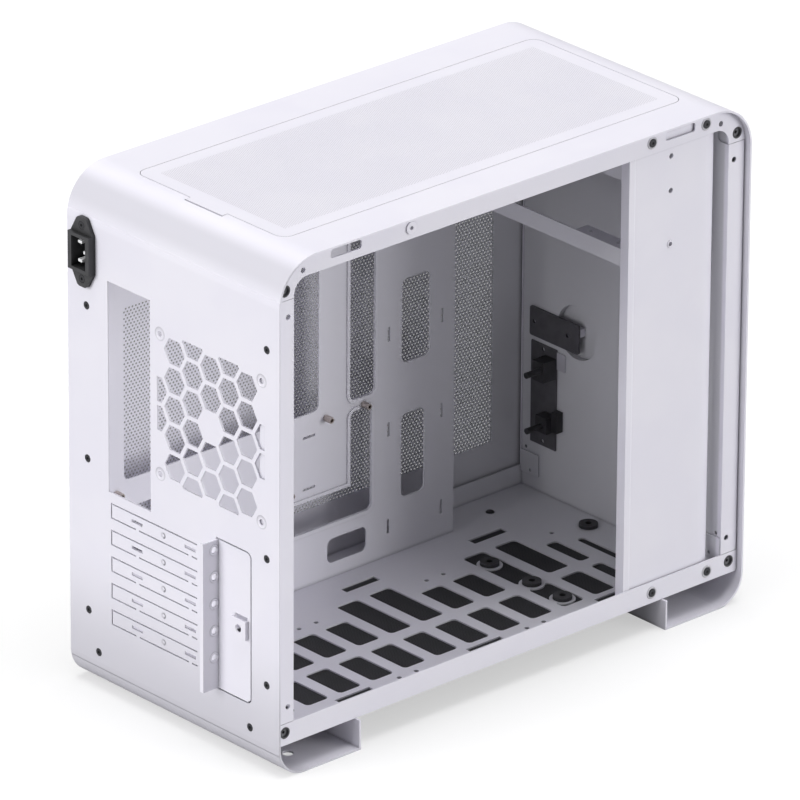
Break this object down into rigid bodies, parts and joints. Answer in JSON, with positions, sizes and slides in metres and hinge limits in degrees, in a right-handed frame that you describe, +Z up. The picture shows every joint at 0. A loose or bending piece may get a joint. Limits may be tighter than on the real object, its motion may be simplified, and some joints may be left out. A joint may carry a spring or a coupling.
{
  "type": "mini tower computer case",
  "caption": "Compact upright computer case: a rounded folded shell round a sheet steel frame, left side open, with a top filter, fan grille, slot covers and a power inlet.",
  "frame": {"origin": "on the floor, at the middle of the case's footprint, slot bracket and power button included", "axes": "+X to the closed side with the motherboard tray, -X to the open side, +Y to the rear with the inlet, +Z up"},
  "size_m": [0.22, 0.4544, 0.385],
  "materials": {
    "white_paint": "satin powder coat",
    "white_mesh": "finely perforated satin sheet",
    "grey_mesh": "fine woven mesh",
    "black_mesh": "fine woven mesh",
    "white_plastic": "satin",
    "black_plastic": "satin moulded",
    "black_steel": "black coated",
    "bright_steel": "bright nickel",
    "brass": "turned",
    "grommet_rubber": "moulded"
  },
  "bodies": {
    "chassis": {"outer_shell": "white_paint", "top_frame": "white_paint", "floor_pan": "white_paint", "rear_left_post": "white_paint", "rear_right_post": "white_paint", "front_left_post": "white_paint", "front_right_post": "white_paint", "motherboard_tray": "white_paint", "right_side_panel": "white_paint", "chamber_cover": "white_paint", "front_wall": "white_paint", "supply_beam": "white_paint", "supply_top_bar": "white_paint", "top_filter_frame": "white_paint", "slot_bracket": "white_paint", "top_filter_mesh": "white_mesh", "side_dust_filter": "grey_mesh", "under_filter_frame": "black_plastic", "under_filter_mesh": "black_mesh", "inlet_body": "black_plastic", "inlet_pins": "bright_steel", "rear_screws": "black_steel", "inlet_screws": "black_steel", "cover_screws": "black_steel", "panel_sockets": "white_plastic", "drive_grommets": "grommet_rubber", "button_plate": "black_steel", "port_board": "black_plastic", "port_module_1": "black_plastic", "port_housing": "black_plastic", "port_cover": "bright_steel", "port_module_2": "black_plastic", "port_sleeves": "black_plastic", "power_switch": "black_plastic", "board_standoffs": "brass"},
    "button": {"power_button": "white_paint"}
  },
  "joints": [
    {"name": "power_button_press", "type": "slide", "parent": "chassis", "child": "button", "axis": [0, 1, 0], "range_m": [0, 0.001], "stiffness_N_per_m": 600}
  ]
}
